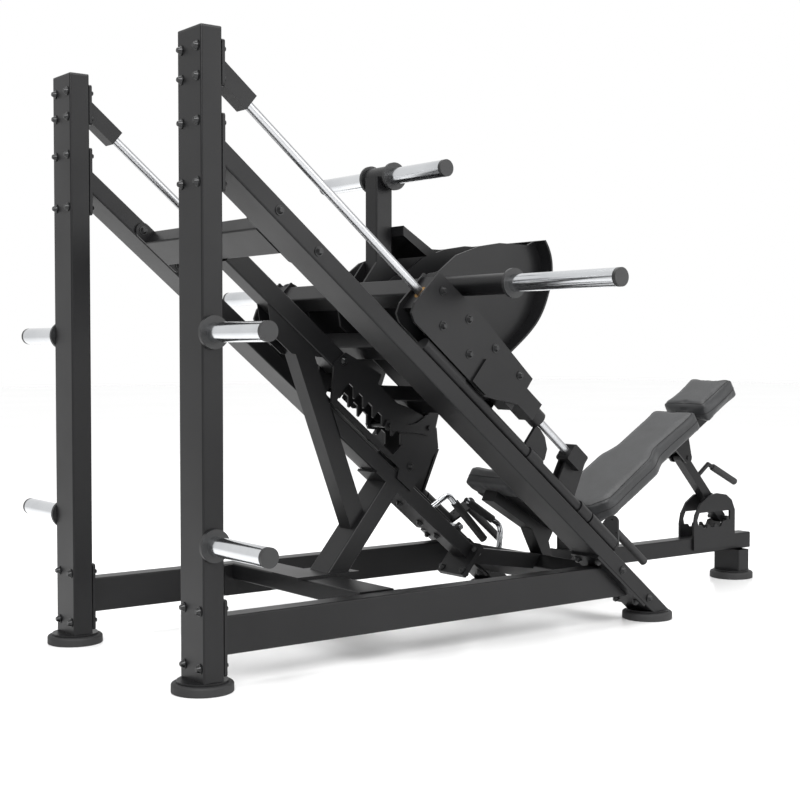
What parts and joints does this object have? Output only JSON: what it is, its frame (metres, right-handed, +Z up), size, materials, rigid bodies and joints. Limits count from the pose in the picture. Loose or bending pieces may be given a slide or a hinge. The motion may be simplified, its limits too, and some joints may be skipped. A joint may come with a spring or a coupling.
{
  "type": "leg press machine",
  "caption": "Plate-loaded sloping leg press with a footplate carriage on round guide rods, turning safety stops and a padded seat with an adjustable back.",
  "frame": {"origin": "on the floor at the centre of the machine's outline", "axes": "+X from the rear uprights to the seat, +Y to the user's right, +Z up"},
  "size_m": [2.667, 1.96, 1.66],
  "materials": {
    "powder_coat": "satin black powder coat",
    "chrome": "polished",
    "bolt_black": "black oxide",
    "pad_cover": "satin leatherette",
    "rubber": "matt",
    "bronze": "sintered",
    "end_cap": "matt"
  },
  "bodies": {
    "frame": {"base_rail_left": "powder_coat", "base_rail_right": "powder_coat", "centre_beam": "powder_coat", "floor_feet": "rubber", "foot_discs": "powder_coat", "frame_bolts": "bolt_black", "front_crossbar": "powder_coat", "front_strut": "powder_coat", "guide_rod_left": "chrome", "guide_rod_right": "chrome", "hand_grip_tubes": "chrome", "hand_grips": "rubber", "hinge_bracket": "powder_coat", "limit_rack": "powder_coat", "lower_beam": "powder_coat", "peg_ends": "end_cap", "rack_plates": "powder_coat", "rear_brace": "powder_coat", "rear_cross_tube": "powder_coat", "rod_bottom_mounts": "powder_coat", "rod_top_mounts": "powder_coat", "safety_sleeves": "powder_coat", "seat_frame": "powder_coat", "seat_pad": "pad_cover", "seat_post": "powder_coat", "seat_support": "powder_coat", "slope_rail_left": "powder_coat", "slope_rail_right": "powder_coat", "spine_beam": "powder_coat", "storage_pegs": "chrome", "upper_crossbar": "powder_coat", "upright_caps": "end_cap", "upright_left": "powder_coat", "upright_right": "powder_coat"},
    "carriage": {"carriage_outer_plates": "powder_coat", "carriage_inner_plates": "powder_coat", "bearing_housings": "powder_coat", "guide_bushes": "bronze", "carriage_crossbars": "powder_coat", "footplate": "powder_coat", "footplate_ribs": "powder_coat", "horn_post": "powder_coat", "loading_arms": "powder_coat", "loading_sleeves": "chrome", "sleeve_ends": "end_cap", "carriage_bolts": "bolt_black"},
    "safety_left": {"safety_stop_left": "powder_coat", "safety_grip_left": "rubber"},
    "safety_right": {"safety_stop_right": "powder_coat", "safety_grip_right": "rubber"},
    "backrest": {"back_pad": "pad_cover", "head_pad": "pad_cover", "back_frame": "powder_coat"},
    "prop": {"strut": "powder_coat", "strut_grip": "rubber"},
    "limit_stop": {"limit_arms": "powder_coat", "limit_buffer": "rubber"},
    "limit_lever": {"limit_lever": "chrome", "lever_grip": "rubber"}
  },
  "joints": [
    {"name": "carriage_slide", "type": "slide", "parent": "frame", "child": "carriage", "axis": [-0.7705, 0, 0.6374], "range_m": [0, 0.7]},
    {"name": "safety_left_turn", "type": "hinge", "parent": "frame", "child": "safety_left", "pos_m": [0.18467, -0.405, 0.25599], "axis": [0.7705, 0, -0.6374], "range_deg": [0, 60]},
    {"name": "safety_right_turn", "type": "hinge", "parent": "frame", "child": "safety_right", "pos_m": [0.18467, 0.405, 0.25599], "axis": [0.7705, 0, -0.6374], "range_deg": [-60, 0]},
    {"name": "backrest_tilt", "type": "hinge", "parent": "frame", "child": "backrest", "pos_m": [0.4015, 0, 0.236], "axis": [0, -1, 0], "range_deg": [0, 7]},
    {"name": "prop_swing", "type": "hinge", "parent": "backrest", "child": "prop", "pos_m": [0.9615, 0, 0.47], "axis": [0, -1, 0], "range_deg": [-31, 0]},
    {"name": "limit_stop_tilt", "type": "hinge", "parent": "frame", "child": "limit_stop", "pos_m": [-0.2617, 0, 0.62006], "axis": [0, -1, 0], "range_deg": [0, 8]},
    {"name": "limit_lever_turn", "type": "hinge", "parent": "frame", "child": "limit_lever", "pos_m": [-0.1197, 0, 0.29753], "axis": [0, -1, 0], "range_deg": [-10, 0]}
  ],
  "couplings": [
    {"joint": "prop_swing", "follows": "backrest_tilt", "ratio": -4.43}
  ]
}
